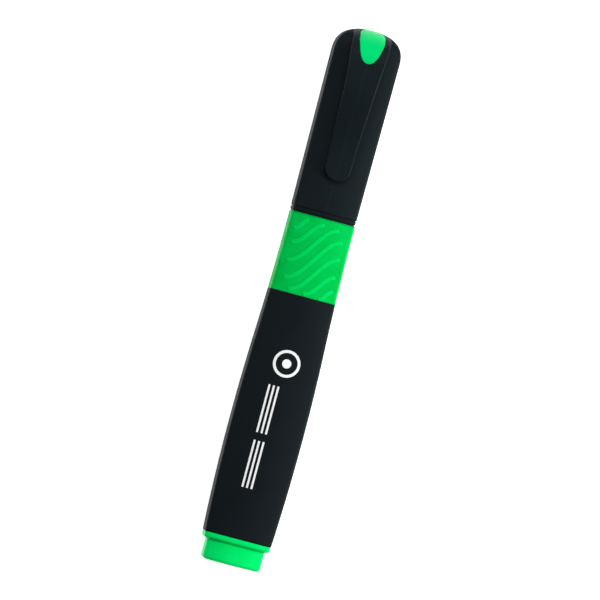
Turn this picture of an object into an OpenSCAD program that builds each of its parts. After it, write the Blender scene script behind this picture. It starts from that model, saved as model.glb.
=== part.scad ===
// Capped flat-bodied highlighter, lying on its back.
// +X is across the pen, +Y runs towards the cap, +Z is the front, where the clip is.
// The origin is at the middle of the length and width, on the surface it lies on.
// Every place along the pen is its distance from the rear end, in millimetres.

/* [Overall] */
// Length from the rear post's end to the top of the cap
total_l = 138; // [136:0.5:140]
// Depth of the body between its crowned faces, without the clip
body_d = 11.6; // [11.4:0.1:12]
// Height of the crown on the front and back faces
crown = 1.3; // [1.1:0.1:1.4]
// Radius of the long edges
edge_r = 0.9; // [0.7:0.1:1]

/* [Barrel] */
// Width at the belly, the widest place
belly_w = 18.6; // [18.4:0.1:19]
// Where the belly is widest
belly_at = 35.2; // [33:0.1:37]
// Radius of the belly's side curves in plan
belly_r = 537; // [520:1:560]
// Width at the waist, under the cap's mouth
waist_w = 16.3; // [16.25:0.01:16.4]
// Where the waist is narrowest
waist_at = 89.4; // [89:0.1:89.8]
// Wall of the barrel
barrel_wall = 1.3; // [1.2:0.05:1.4]

/* [Grip] */
// Where the rubber grip starts
grip_at = 69.4; // [69:0.1:70]
// Length of the rubber grip
grip_l = 20.5; // [20:0.1:21]
// Thickness of the rubber
grip_t = 0.9; // [0.8:0.05:1]
// Height of the raised waves above the rubber
wave_h = 0.25; // [0.15:0.05:0.3]
// Width of each raised wave
wave_w = 0.95; // [0.8:0.05:1.1]

/* [Rear plug] */
// Length of the post that the cap can sit on
post_l = 5.2; // [5:0.1:5.6]
// Width of the post, and of the spigot under the cap
post_w = 14.76; // [14.7:0.01:14.8]
// Depth of the post, and of the spigot under the cap
post_d = 9.7; // [9.6:0.05:9.75]
// Thickness of the plug's flange
flange_t = 1.6; // [1.4:0.1:1.8]
// Width of the plug's flange
flange_w = 16.9; // [16.7:0.1:17]

/* [Cap] */
// Length of the cap
cap_l = 47; // [46:0.5:48]
// Width of the cap at its mouth
cap_w0 = 16.32; // [16.3:0.01:16.4]
// Width of the cap where its rounded top starts
cap_w1 = 17; // [16.8:0.1:17.2]
// Length of the rounded top in plan
dome_l = 6.9; // [6.5:0.1:7.3]
// Clearance between the cap and what goes into it, on each side
cap_gap = 0.08; // [0.06:0.01:0.1]

/* [Clip] */
// Height of the clip's hump above the cap's face
hump_h = 4.6; // [4.4:0.1:4.8]
// Width of the hump at its foot
hump_w = 9.7; // [9.4:0.1:10]
// Where the free arm leaves the hump
arm_root_at = 127; // [126.5:0.1:127.5]
// Where the arm's rounded tip ends
arm_tip_at = 99.3; // [99:0.1:100]
// Width of the arm at its root
arm_w0 = 8.2; // [8:0.1:8.4]
// Width of the arm near its tip
arm_w1 = 6.8; // [6.6:0.1:7]
// Thickness of the arm
arm_t = 1.75; // [1.6:0.05:1.8]

/* [Colour insert] */
// Width of the insert at its broad end
insert_w = 6.66; // [6.4:0.1:6.8]
// Where the insert's narrow end is
insert_at = 129.75; // [129.6:0.05:130]
// Depth of the pocket that it sits in
pocket_d = 1.6; // [1.4:0.1:1.8]

/* [Nib and ink] */
// Width of the chisel nib
nib_w = 5; // [4.8:0.1:5.2]
// Thickness of the chisel nib
nib_t = 3.4; // [3.2:0.1:3.5]
// Width of the ink reservoir
core_w = 10; // [9.6:0.1:10]
// Thickness of the ink reservoir
core_t = 6.4; // [6:0.1:6.4]

/* [Hidden] */
$fn = 64;

// Colours of the moulded plastic, the rubber and the fibre parts
black = [0.1, 0.12, 0.13];
green = [0.02, 0.85, 0.42];
rubber_green = [0.02, 0.76, 0.3];
pale = [0.85, 0.87, 0.86];
felt = [0.35, 0.95, 0.45];

// Steps round each edge, from edge to hump, up the hump's wall, and along a curve
edge_steps = 4;
side_steps = 4;
hump_steps = 4;
curve_steps = 16;

// The body's axis stands this high above the surface it lies on
axis_z = body_d / 2;
// Gap between pieces that are fixed together
seat = 0.03;

barrel_at = post_l + flange_t;
ring_at = grip_at + grip_l;
cap_at = total_l - cap_l;
dome_at = total_l - dome_l;

// The side curve in plan: a belly arc that runs into a waist arc with one tangent
side_slope = (belly_w - waist_w) / (waist_at - belly_at);
turn_at = belly_at + side_slope * belly_r;
waist_r = (waist_at - turn_at) / side_slope;

// The narrow passage under the grip and the spigot that the cap covers
throat_w = waist_w - 2 * (grip_t + 0.95);
throat_d = body_d - 2 * (grip_t + 0.9);
spigot_end = cap_at + 9.5;
stub_r = 3.9;
stub_end = spigot_end + 6.5;
cone_end = spigot_end + 13;
cone_r = 3.2;
core_at = 12.5;
core_end = spigot_end - 2.5;
film_t = 0.12;
nib_tail = 84;
nib_tip = 120.5;
liner_at = spigot_end + 0.7;
liner_end = 126.8;
liner_t = 0.7;

// The hump's top runs level and then round the top of the cap
hump_bend_at = 129.5;
cap_bend_at = 133.5;
head_curve = 2.3;
plan_curve = 2.55;

// The hump keeps its width towards the cap's end until it takes this share of the cap's width
foot_share = 0.86;

function lerp(a, b, t) = a + (b - a) * t;
function clamp01(t) = max(0, min(1, t));

// Half width of the barrel and the grip
function half_w(at) = at < turn_at
    ? belly_w / 2 - pow(at - belly_at, 2) / (2 * belly_r)
    : waist_w / 2 + pow(waist_at - at, 2) / (2 * waist_r);

// A quarter circle's fall-off with a squarer or rounder power, 1 at the start and 0 at the end
function fall(at, start, power) =
    pow(max(0, 1 - pow(clamp01((at - start) / (total_l - start)), power)), 1 / power);

// Half of the crowned section, from its right side over the top to its left side.
// w and d are its width and depth, c its crown, r its edge radius.
function top_half(w, d, c, r) =
    let (
        a = w / 2,
        face_r = (a * a + c * c) / (2 * c),
        face_z = d / 2 - face_r,
        edge_z = face_z + sqrt(pow(face_r - r, 2) - pow(a - r, 2)),
        meet = atan2(edge_z - face_z, a - r),
        right = concat(
            [for (i = [0:edge_steps]) a_point(a - r, edge_z, r, meet * i / edge_steps)],
            [for (i = [1:side_steps]) a_point(0, face_z, face_r, lerp(meet, 90, i / side_steps))]
        ),
        last = len(right) - 1
    )
    concat(right, [for (i = [1:last]) [-right[last - i].x, right[last - i].y]]);

function a_point(x, z, r, angle) = [x + r * cos(angle), z + r * sin(angle)];

// A whole crowned section
function section(w, d, c = crown, r = edge_r) =
    let (top = top_half(w, d, c, r))
    concat(top, [for (p = top) [-p.x, -p.y]]);

// Rings round a small edge radius, where a section grows to its full size over a length of r
function edge_rings(at, w, d, r) = [
    for (turn = [90:-30:0])
        let (inset = 2 * r * (1 - cos(turn)))
        [at + r - r * sin(turn), section(w - inset, d - inset)]
];

// One solid skinned over rings, each [place, section points].
// joined is true for a tube, whose last ring meets its first.
module skin(rings, joined = false) {
    n = len(rings[0][1]);
    count = len(rings);
    points = [
        for (ring = rings)
            for (p = ring[1])
                [p.x, ring[0] - total_l / 2, p.y + axis_z]
    ];
    sides = [
        for (i = [0:count - (joined ? 1 : 2)])
            for (j = [0:n - 1])
                let (
                    a = i * n + j,
                    b = i * n + (j + 1) % n,
                    c = ((i + 1) % count) * n + (j + 1) % n,
                    d = ((i + 1) % count) * n + j
                )
                each [[a, b, c], [a, c, d]]
    ];
    ends = joined ? [] : [
        [for (j = [n - 1:-1:0]) j],
        [for (j = [0:n - 1]) (count - 1) * n + j]
    ];
    polyhedron(points = points, faces = concat(sides, ends));
}

// A straight stretch of one section between two places along the pen
module prism(from, to, points) {
    translate([0, to - total_l / 2, axis_z])
        rotate([90, 0, 0])
            linear_extrude(to - from)
                polygon(points);
}

// A plan outline in x and place along the pen, raised between two heights
module plan_slab(low, high) {
    translate([0, -total_l / 2, low])
        linear_extrude(high - low)
            children();
}

// A side outline in place along the pen and height, spread across a width
module side_slab(w, points) {
    translate([-w / 2, -total_l / 2, 0])
        rotate([90, 0, 90])
            linear_extrude(w)
                polygon(points);
}

// A round bar along the pen's axis, off to one side by x
module round_bar(from, to, r0, r1, x = 0) {
    translate([x, from - total_l / 2, axis_z])
        rotate([-90, 0, 0])
            cylinder(h = to - from, r1 = r0, r2 = r1);
}

// A flat bar with round sides along the pen's axis
module flat_bar(from, to, w, t) {
    translate([0, to - total_l / 2, axis_z])
        rotate([90, 0, 0])
            linear_extrude(to - from)
                union() {
                    square([w - t, t], center = true);
                    for (side = [-1, 1])
                        translate([side * (w - t) / 2, 0])
                            circle(d = t);
                }
}

// Black barrel: a tube with a shallow seat for the rubber grip at its front
module barrel_shell() {
    seat_w = 2 * (grip_t + seat);
    outer = [
        for (i = [0:curve_steps])
            let (at = lerp(barrel_at + seat, grip_at, i / curve_steps))
            [at, section(2 * half_w(at), body_d)]
    ];
    seat_rings = [
        for (i = [0:4])
            let (at = lerp(grip_at, ring_at - seat, i / 4))
            [at, section(2 * half_w(at) - seat_w, body_d - seat_w, crown, edge_r - 0.2)]
    ];
    throat = [
        for (at = [ring_at - seat, grip_at - 2])
            [at, section(throat_w, throat_d, crown - 0.2, 0.6)]
    ];
    bore = [
        for (i = [curve_steps - 4:-1:0])
            let (at = lerp(barrel_at + seat, grip_at - 4, i / (curve_steps - 4)))
            [
                at,
                section(2 * half_w(at) - 2 * barrel_wall, body_d - 2 * barrel_wall, crown, 0.6)
            ]
    ];
    color(black)
        skin(concat(outer, seat_rings, throat, bore), joined = true);
}

// One raised wave in plan, an S that eases from low to high and has round ends.
// It runs from x0 to x1 and from y0 to y1 about the middle of the grip.
module wave(x0, y0, x1, y1) {
    steps = 10;
    cap_steps = 5;
    r = wave_w / 2;
    shares = [for (i = [0:steps]) i / steps];
    mid = [for (u = shares) [lerp(x0, x1, u), lerp(y0, y1, (1 - cos(180 * u)) / 2)]];
    slope = [for (u = shares) (y1 - y0) / (x1 - x0) * PI / 2 * sin(180 * u)];
    across = [for (m = slope) [-m, 1] * r / norm([m, 1])];
    polygon(concat(
        [for (i = [0:steps]) mid[i] + across[i]],
        [for (i = [1:cap_steps]) mid[steps] + r * [sin(30 * i), cos(30 * i)]],
        [for (i = [steps:-1:0]) mid[i] - across[i]],
        [for (i = [1:cap_steps]) mid[0] - r * [sin(30 * i), cos(30 * i)]]
    ));
}

// Seven waves: one across the middle, and three turned half way round to make six
module waves() {
    translate([0, grip_at + grip_l / 2 - 0.75]) {
        wave(-6, -5.8, 6, 5.8);
        for (turn = [0, 180])
            rotate(turn) {
                wave(-6.4, -1.5, 4.25, 8.4);
                wave(-6.3, 3.1, 0.2, 8.8);
                wave(-6.5, 6.7, -4, 9.1);
            }
    }
}

// Rubber grip sleeve with raised waves on its front
module grip_sleeve() {
    inset = 2 * grip_t;
    low = grip_at + seat;
    high = ring_at - seat;
    outer = [
        for (i = [0:6])
            let (at = lerp(low, high, i / 6))
            [at, section(2 * half_w(at), body_d)]
    ];
    inner = [
        for (i = [-1:7])
            let (at = lerp(low, high, i / 6))
            [at, section(2 * half_w(at) - inset, body_d - inset, crown, edge_r - 0.2)]
    ];
    face_r = (pow(waist_w / 2, 2) + crown * crown) / (2 * crown);
    color(rubber_green)
        difference() {
            union() {
                skin(outer);
                intersection() {
                    plan_slab(axis_z + 2, body_d + 1)
                        waves();
                    translate([0, low - total_l / 2, body_d - face_r])
                        rotate([-90, 0, 0])
                            cylinder(h = high - low, r = face_r + wave_h);
                }
            }
            skin(inner);
        }
}

// Green plug that closes the barrel, with the post that the cap can sit on
module end_plug() {
    plug_w = 2 * half_w(barrel_at) - 2 * barrel_wall - 0.1;
    plug_d = body_d - 2 * barrel_wall - 0.1;
    plug_l = 6.4;
    wall = 1.2;
    color(green)
        skin(concat(
            edge_rings(0, post_w, post_d, 0.7),
            [[post_l, section(post_w, post_d)]],
            edge_rings(post_l, flange_w, body_d - 0.3, 0.8),
            [
                [barrel_at, section(flange_w, body_d - 0.3)],
                [barrel_at, section(plug_w, plug_d, crown, 0.6)],
                [barrel_at + plug_l, section(plug_w, plug_d, crown, 0.6)],
                [barrel_at + plug_l, section(plug_w - 2 * wall, plug_d - 2 * wall, crown - 0.2, 0.6)],
                [post_l, section(plug_w - 2 * wall, plug_d - 2 * wall, crown - 0.2, 0.6)]
            ]
        ));
}

// Black front section: the thin ring, the spigot that the cap fits over and the nib's holder
module nib_section() {
    wall = 1.05;
    bore = section(throat_w - 2 * wall, throat_d - wall, crown - 0.7, 0.6);
    color(black)
        difference() {
            union() {
                prism(ring_at, cap_at, section(waist_w - 0.12, body_d - 0.12));
                prism(
                    ring_at - 5,
                    ring_at,
                    section(throat_w - 2 * seat, throat_d - 2 * seat, crown - 0.2, 0.6)
                );
                prism(cap_at, spigot_end, section(post_w, post_d));
                round_bar(spigot_end, stub_end, stub_r, stub_r);
                round_bar(stub_end, cone_end, stub_r, cone_r);
            }
            prism(ring_at - 6, spigot_end - 1.5, bore);
            translate([0, cone_end - total_l / 2, axis_z])
                cube([nib_w + 0.04, 40, nib_t + 0.04], center = true);
        }
}

// Chisel nib: a flat felt bar cut slantwise across its width and thinned towards its edge
module nib() {
    slant = 2.6;
    thin_at = nib_tip - 6;
    color(felt)
        intersection() {
            plan_slab(0, body_d)
                polygon([
                    [-nib_w / 2, nib_tail],
                    [nib_w / 2, nib_tail],
                    [nib_w / 2, nib_tip - 0.4],
                    [nib_w / 2 - 0.4, nib_tip],
                    [-nib_w / 2 + 0.3, nib_tip - slant],
                    [-nib_w / 2, nib_tip - slant - 0.4]
                ]);
            side_slab(nib_w + 1, [
                [nib_tail, axis_z - nib_t / 2],
                [thin_at, axis_z - nib_t / 2],
                [nib_tip, axis_z - 0.7],
                [nib_tip, axis_z + 0.7],
                [thin_at, axis_z + nib_t / 2],
                [nib_tail, axis_z + nib_t / 2]
            ]);
        }
}

// Fibre reservoir that holds the ink, with the slot that the nib's tail pushes into
module reservoir() {
    color(felt)
        difference() {
            flat_bar(core_at + 1.5, core_end, core_w, core_t);
            translate([0, nib_tail + 20 - total_l / 2, axis_z])
                cube([nib_w + 0.04, 40 + 0.04, nib_t + 0.04], center = true);
        }
}

// Thin plastic film wrapped round the reservoir
module reservoir_film() {
    color(pale)
        difference() {
            flat_bar(core_at + 1, core_end, core_w + 2 * film_t + 0.02, core_t + 2 * film_t + 0.02);
            flat_bar(core_at, core_end + 1, core_w + 0.02, core_t + 0.02);
        }
}

// Fine tube beside the reservoir that lets air back into the barrel
module vent_tube() {
    vent_x = (core_w + throat_w) / 4 + 0.05;
    color(pale)
        difference() {
            round_bar(core_at + 2, ring_at - 5.3, 0.38, 0.38, vent_x);
            round_bar(core_at + 1, ring_at - 4, 0.2, 0.2, vent_x);
        }
}

// Width of the cap's outside, straight to the start of its rounded top
function cap_w(at) =
    lerp(cap_w0, cap_w1, clamp01((at - cap_at) / (dome_at - cap_at))) * fall(at, dome_at, plan_curve);

// Height of the hump's flat top above the body's axis
function hump_z(at) = (axis_z + hump_h) * fall(at, hump_bend_at, head_curve);

// The cap's section with its hump: rise is the part of the hump's height that stands, 0 to 1.
// The front face runs from its edge to the hump's foot, up its wall and across its top.
function cap_section(at, rise) =
    let (
        w = cap_w(at),
        squeeze = w / cap_w1,
        depth = fall(at, cap_bend_at, head_curve),
        a = cap_w1 / 2,
        face_r = (a * a + crown * crown) / (2 * crown),
        face_z = axis_z - face_r,
        plain = top_half(cap_w1, body_d, crown, edge_r),
        edge = [for (i = [0:edge_steps]) plain[i]],
        foot = min(hump_w / 2 / squeeze, foot_share * a),
        side = [
            for (i = [1:side_steps])
                let (x = lerp(edge[edge_steps].x, foot, i / side_steps))
                [x, face_z + sqrt(face_r * face_r - x * x)]
        ],
        top = [
            for (i = [0:hump_steps])
                let (
                    x = [foot - 0.42, foot - 0.75, foot - 1.4, foot / 2.4, 0][i],
                    drop = [0.55, 0.1, 0, -0.06, -0.1][i],
                    flat_z = face_z + sqrt(face_r * face_r - x * x),
                    full_z = hump_z(at) - drop * fall(at, hump_bend_at, head_curve)
                )
                [x, lerp(flat_z * depth, max(flat_z * depth, full_z), rise) / depth]
        ],
        right = concat(edge, side, top),
        last = len(right) - 1,
        front = concat(right, [for (i = [1:last]) [-right[last - i].x, right[last - i].y]]),
        back = [
            for (i = [0:2 * last])
                let (
                    q = i <= last ? i : 2 * last - i,
                    side_x = i <= last ? -1 : 1,
                    x = right[q].x,
                    flat_z = q <= edge_steps
                        ? right[q].y
                        : face_z + sqrt(face_r * face_r - x * x)
                )
                [side_x * x, -flat_z]
        ]
    )
    [for (p = concat(front, back)) [p.x * squeeze, p.y * depth]];

// Outline of the colour insert in plan: an arc at each end, joined by lines that touch both
module shield(gap) {
    steps = 8;
    r0 = 1.95 - gap;
    r1 = insert_w / 2 - gap;
    y0 = insert_at + 1.95;
    y1 = y0 + 4.15;
    lean = asin((r1 - r0) / (y1 - y0));
    polygon(concat(
        [
            for (i = [0:steps])
                let (turn = lerp(180 + lean, 360 - lean, i / steps))
                [r0 * cos(turn), y0 + r0 * sin(turn)]
        ],
        [
            for (i = [0:steps])
                let (turn = lerp(-lean, 180 + lean, i / steps))
                [r1 * cos(turn), y1 + r1 * sin(turn)]
        ]
    ));
}

// Side outline of the insert's seat, a band that follows the hump's top round the cap's end.
// It stands over the hump's top by over and goes past the cap's end by past.
function seat_band(over, past, under) =
    let (
        steps = 10,
        turn = [for (i = [0:steps]) 88 * i / steps],
        bend = total_l - hump_bend_at,
        high = axis_z + hump_h
    )
    concat(
        [[insert_at - 1, axis_z + high + over]],
        [for (t = turn) head_point(bend + past, high + over, t)],
        [for (i = [steps:-1:0]) head_point(bend - under, high - under, turn[i])],
        [[insert_at - 1, axis_z + high - under]]
    );

// A point on the head's rounded side outline, which reaches bend along the pen and high above its axis
function head_point(bend, high, turn) = [
    hump_bend_at + bend * pow(sin(turn), 2 / head_curve),
    axis_z + high * pow(cos(turn), 2 / head_curve)
];

// Black cap with the clip's hump, closed at its rounded top
module cap_shell() {
    inner = section(post_w + 2 * cap_gap, post_d + 2 * cap_gap);
    mouth_r = 0.15;
    mouth_share = 1 - mouth_r / cap_w0;
    top_flat = 0.1;
    body = [cap_at + mouth_r, cap_at + 12, cap_at + 24, arm_root_at - 0.5];
    hump = [arm_root_at, arm_root_at + 1.5, hump_bend_at, dome_at];
    dome = [for (t = [20:15:65]) dome_at + dome_l * pow(sin(t), 2 / plan_curve)];
    color(black)
        difference() {
            skin(concat(
                [[cap_at, cap_section(cap_at, 0) * mouth_share]],
                [for (at = body) [at, cap_section(at, 0)]],
                [for (at = concat(hump, dome)) [at, cap_section(at, 1)]],
                [[total_l, cap_section(total_l - top_flat, 1)]]
            ));
            prism(cap_at - 1, cap_at + 41, inner);
            prism(cap_at + 40, cap_at + 43.3, section(post_w - 4, post_d - 2.4));
            translate([0, arm_root_at + 2.6 - total_l / 2, axis_z + 3.6])
                cube([6, 2.6, 7.2], center = true);
            intersection() {
                plan_slab(0, body_d + hump_h + 1)
                    shield(0);
                side_slab(insert_w + 1, seat_band(2, 2, pocket_d));
            }
        }
}

// Pale liner inside the cap that seals round the nib's holder
module inner_cap() {
    bore_r = stub_r + 0.1;
    color(pale)
        difference() {
            union() {
                prism(liner_at, liner_at + 1.2, section(post_w + 2 * cap_gap - 0.1, post_d + 2 * cap_gap - 0.1));
                round_bar(liner_at, liner_end, bore_r + liner_t, bore_r + liner_t);
                translate([-post_w / 2, liner_at - total_l / 2, axis_z - 0.4])
                    cube([post_w, 12, 0.8]);
            }
            round_bar(liner_at - 1, liner_end - 0.8, bore_r, bore_r);
        }
}

// Green insert in the hump, wrapped over the cap's top
module colour_insert() {
    color(green)
        intersection() {
            plan_slab(0, body_d + hump_h + 1)
                shield(0.06);
            side_slab(insert_w, seat_band(0.12, 0, pocket_d - 0.05));
        }
}

// Springy clip arm, from the hump to its rounded tip, with the bead that grips cloth
module clip_arm() {
    root = arm_root_at - 0.15;
    tip_r = arm_w1 / 2;
    neck = root - 8.5;
    face = body_d;
    high = face + hump_h;
    color(black)
        intersection() {
            plan_slab(face - 2, high + 1)
                union() {
                    translate([0, arm_tip_at + tip_r])
                        circle(r = tip_r);
                    polygon([
                        [-tip_r, arm_tip_at + tip_r],
                        [tip_r, arm_tip_at + tip_r],
                        [arm_w1 / 2, arm_tip_at + 7],
                        [arm_w0 / 2 - 0.4, neck],
                        [arm_w0 / 2, root],
                        [-arm_w0 / 2, root],
                        [-arm_w0 / 2 + 0.4, neck],
                        [-arm_w1 / 2, arm_tip_at + 7]
                    ]);
                }
            side_slab(arm_w0 + 1, [
                [root, high],
                [root - 4, high - 0.1],
                [neck, face + 3.8],
                [arm_tip_at + 11.5, face + 2.35],
                [arm_tip_at + 6, face + 1.75],
                [arm_tip_at, face + 1.5],
                [arm_tip_at, face + 0.6],
                [arm_tip_at + 1, face + 0.2],
                [arm_tip_at + 4, face + 0.2],
                [arm_tip_at + 6.5, face + 0.5],
                [arm_tip_at + 11.5, face + 2.35 - arm_t],
                [neck, face + 3.8 - arm_t],
                [root - 3.5, high - arm_t - 0.2],
                [root - 1, high - arm_t - 1.3],
                [root - 0.45, face + 0.4]
            ]);
        }
}

barrel_shell();
grip_sleeve();
end_plug();
nib_section();
nib();
reservoir();
reservoir_film();
vent_tube();
cap_shell();
inner_cap();
colour_insert();
clip_arm();
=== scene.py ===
"""The looks of a capped flat-bodied highlighter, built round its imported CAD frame.

Lengths in this script are millimetres until mesh_object() turns them into metres, unless a note says
otherwise. A place along the pen, called at, is its distance from the rear end, and a height is measured
from the surface it lies on.
"""

import math

import bmesh
import bpy
import numpy as np
from mathutils import Matrix, Vector


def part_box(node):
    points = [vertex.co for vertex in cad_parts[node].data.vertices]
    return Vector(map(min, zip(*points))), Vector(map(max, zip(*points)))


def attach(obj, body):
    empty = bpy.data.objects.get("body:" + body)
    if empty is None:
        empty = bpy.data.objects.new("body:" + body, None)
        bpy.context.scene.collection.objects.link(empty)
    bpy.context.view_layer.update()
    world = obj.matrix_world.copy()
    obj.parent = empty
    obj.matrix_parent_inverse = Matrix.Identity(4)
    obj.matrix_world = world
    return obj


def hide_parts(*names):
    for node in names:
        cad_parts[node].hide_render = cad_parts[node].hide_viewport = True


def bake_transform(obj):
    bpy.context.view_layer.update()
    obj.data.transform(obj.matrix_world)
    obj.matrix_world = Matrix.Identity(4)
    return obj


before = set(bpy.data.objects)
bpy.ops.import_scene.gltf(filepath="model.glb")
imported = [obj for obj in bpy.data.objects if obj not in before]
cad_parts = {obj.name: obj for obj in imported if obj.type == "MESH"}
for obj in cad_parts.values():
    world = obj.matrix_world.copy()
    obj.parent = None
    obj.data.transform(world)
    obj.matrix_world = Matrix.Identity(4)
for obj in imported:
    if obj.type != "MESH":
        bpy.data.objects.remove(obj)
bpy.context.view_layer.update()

MM = 0.001


# ---------------------------------------------------------------- sizes read from the frame


def span(node):
    """Lowest and highest corner of a CAD node, in millimetres."""
    low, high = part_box(node)
    return np.array(low) / MM, np.array(high) / MM


X, Y, Z = 0, 1, 2
plug_low, plug_high = span("end_plug")
barrel_low, barrel_high = span("barrel_shell")
grip_low, grip_high = span("grip_sleeve")
cap_low, cap_high = span("cap_shell")
_, section_high = span("nib_section")
_, nib_high = span("nib")
arm_low, arm_high = span("clip_arm")
insert_low, insert_high = span("colour_insert")

REAR = plug_low[Y]
TOTAL = cap_high[Y] - REAR
BARREL_AT = barrel_low[Y] - REAR
GRIP_AT = grip_low[Y] - REAR
RING_AT = grip_high[Y] - REAR
CAP_AT = cap_low[Y] - REAR
SECTION_END = section_high[Y] - REAR
NIB_END = nib_high[Y] - REAR
ARM_TIP_AT = arm_low[Y] - REAR
ARM_ROOT_AT = arm_high[Y] - REAR
INSERT_AT = insert_low[Y] - REAR

BELLY_W = barrel_high[X] - barrel_low[X]
BODY_D = barrel_high[Z] - barrel_low[Z]
FLANGE_W = plug_high[X] - plug_low[X]
CAP_W1 = cap_high[X] - cap_low[X]
INSERT_W = insert_high[X] - insert_low[X]
FACE_Z = BODY_D
AXIS_Z = BODY_D / 2
HUMP_H = cap_high[Z] - FACE_Z - 0.1

# ---------------------------------------------------------------- design sizes, as in the CAD

CROWN = 1.3
EDGE_R = 0.9
BELLY_AT = 35.2
BELLY_R = 537.0
WAIST_W = 16.3
WAIST_AT = 89.4
CAP_W0 = 16.32
DOME_L = 6.9
DOME_AT = TOTAL - DOME_L
PLAN_POWER = 2.55
HEAD_POWER = 2.3
HUMP_BEND_AT = TOTAL - 8.5
CAP_BEND_AT = TOTAL - 4.5
POST_W = 14.76
POST_D = 9.7
POST_L = 5.2
SOCKET_GAP = 0.08
SPIGOT_END = CAP_AT + 9.5
STUB_R = 3.9
STUB_END = SPIGOT_END + 6.5
CONE_R = 3.2
NIB_W = 5.0
NIB_T = 3.4


# ---------------------------------------------------------------- small maths helpers


def lerp(a, b, t):
    return a + (b - a) * t


def quarter(start, end, steps):
    """Angles in radians from start to end degrees, both ends included."""
    return np.radians(np.linspace(start, end, steps + 1))


def smooth_through(points):
    """A curve through (place, value) points that never overshoots them."""
    x, y = np.array(points, float).T
    step = np.diff(x)
    slope = np.diff(y) / step
    tangent = np.zeros(len(x))
    tangent[0], tangent[-1] = slope[0], slope[-1]
    for i in range(1, len(x) - 1):
        if slope[i - 1] * slope[i] > 0:
            w1 = 2 * step[i] + step[i - 1]
            w2 = step[i] + 2 * step[i - 1]
            tangent[i] = (w1 + w2) / (w1 / slope[i - 1] + w2 / slope[i])

    def value(at):
        at = np.clip(np.asarray(at, float), x[0], x[-1])
        i = np.clip(np.searchsorted(x, at) - 1, 0, len(step) - 1)
        t = (at - x[i]) / step[i]
        return (
            y[i] * (1 + 2 * t) * (1 - t) ** 2
            + tangent[i] * step[i] * t * (1 - t) ** 2
            + y[i + 1] * t * t * (3 - 2 * t)
            - tangent[i + 1] * step[i] * t * t * (1 - t)
        )

    return value


def fall(at, start, power):
    """A quarter superellipse: 1 before start and 0 at the pen's end."""
    t = np.clip((np.asarray(at, float) - start) / (TOTAL - start), 0, 1)
    return np.maximum(0, 1 - t**power) ** (1 / power)


# ---------------------------------------------------------------- outlines of the body

SIDE_SLOPE = (BELLY_W - WAIST_W) / (WAIST_AT - BELLY_AT)
TURN_AT = BELLY_AT + SIDE_SLOPE * BELLY_R
WAIST_R = (WAIST_AT - TURN_AT) / SIDE_SLOPE


def half_width(at):
    """Half width of the barrel and grip: a belly arc that runs into a waist arc."""
    if at < TURN_AT:
        return BELLY_W / 2 - (at - BELLY_AT) ** 2 / (2 * BELLY_R)
    return WAIST_W / 2 + (WAIST_AT - at) ** 2 / (2 * WAIST_R)


def cap_half_width(at):
    """Half width of the cap: straight to its rounded top, then a superellipse in plan."""
    t = np.clip((at - CAP_AT) / (DOME_AT - CAP_AT), 0, 1)
    return lerp(CAP_W0, CAP_W1, t) / 2 * fall(at, DOME_AT, PLAN_POWER)


def crown_height(x, w, d):
    """Height above the axis of the crowned front face, at x across a section w wide and d deep."""
    a = w / 2
    face_r = (a * a + CROWN * CROWN) / (2 * CROWN)
    return d / 2 - face_r + np.sqrt(np.maximum(face_r**2 - np.asarray(x, float) ** 2, 0))


def section(w, d, crown=CROWN, r=EDGE_R, front=28, back=28, edge=8, side=6):
    """A crowned section as (x, height above the axis) points, anticlockwise from the right side's top."""
    a = w / 2
    face_r = (a * a + crown * crown) / (2 * crown)
    face_z = d / 2 - face_r
    edge_z = face_z + math.sqrt((face_r - r) ** 2 - (a - r) ** 2)
    meet = math.atan2(edge_z - face_z, a - r)

    def half(face_n):
        turns = np.linspace(0, meet, edge + 1)
        round_edge = [(a - r + r * math.cos(t), edge_z + r * math.sin(t)) for t in turns]
        face_angles = np.linspace(meet, math.pi - meet, face_n + 1)[1:-1]
        face = [(face_r * math.cos(t), face_z + face_r * math.sin(t)) for t in face_angles]
        return round_edge + face + [(-x, z) for x, z in reversed(round_edge)]

    top = half(front)
    bottom = [(-x, -z) for x, z in half(back)]
    left = [(-a, lerp(edge_z, -edge_z, i / side)) for i in range(1, side)]
    right = [(a, lerp(-edge_z, edge_z, i / side)) for i in range(1, side)]
    return np.array(top + left + bottom + right)


def ring(at, points):
    """A section's points as a ring across the pen."""
    return np.column_stack([points[:, 0], np.full(len(points), at), points[:, 1] + AXIS_Z])


# Beside a rounded edge, a ring this far away keeps the flat next to it flat
HOLD = 0.04


def round_end(start, end, inset_r, steps=4):
    """(place, inset) pairs for an edge of radius inset_r that starts at start and faces away from end."""
    way = 1 if end > start else -1
    arc = [
        (start + way * inset_r * (1 - math.sin(t)), inset_r * (1 - math.cos(t)))
        for t in quarter(90, 0, steps)
    ]
    return arc + [(start + way * (inset_r + HOLD), 0)]


# ---------------------------------------------------------------- mesh helpers


# Edges bent by more than this are shaded sharp
SHARP = math.radians(38)
# Points nearer than this, in metres, are one point, and edges shorter than the second are removed
SAME_POINT, NO_EDGE = 1e-7, 1e-8


def mesh_object(name, verts, faces):
    """An object from millimetre points, closed, with outward normals and smooth shading."""
    mesh = bpy.data.meshes.new(name)
    points = np.array(verts, float)
    points[:, Y] += REAR
    mesh.from_pydata((points * MM).tolist(), [], [list(map(int, f)) for f in faces])
    bm = bmesh.new()
    bm.from_mesh(mesh)
    bmesh.ops.remove_doubles(bm, verts=bm.verts, dist=SAME_POINT)
    bmesh.ops.dissolve_degenerate(bm, dist=NO_EDGE, edges=bm.edges)
    bmesh.ops.recalc_face_normals(bm, faces=bm.faces)
    bm.to_mesh(mesh)
    bm.free()
    mesh.shade_smooth()
    mesh.set_sharp_from_angle(angle=SHARP)
    obj = bpy.data.objects.new(name, mesh)
    bpy.context.scene.collection.objects.link(obj)
    return obj


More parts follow.
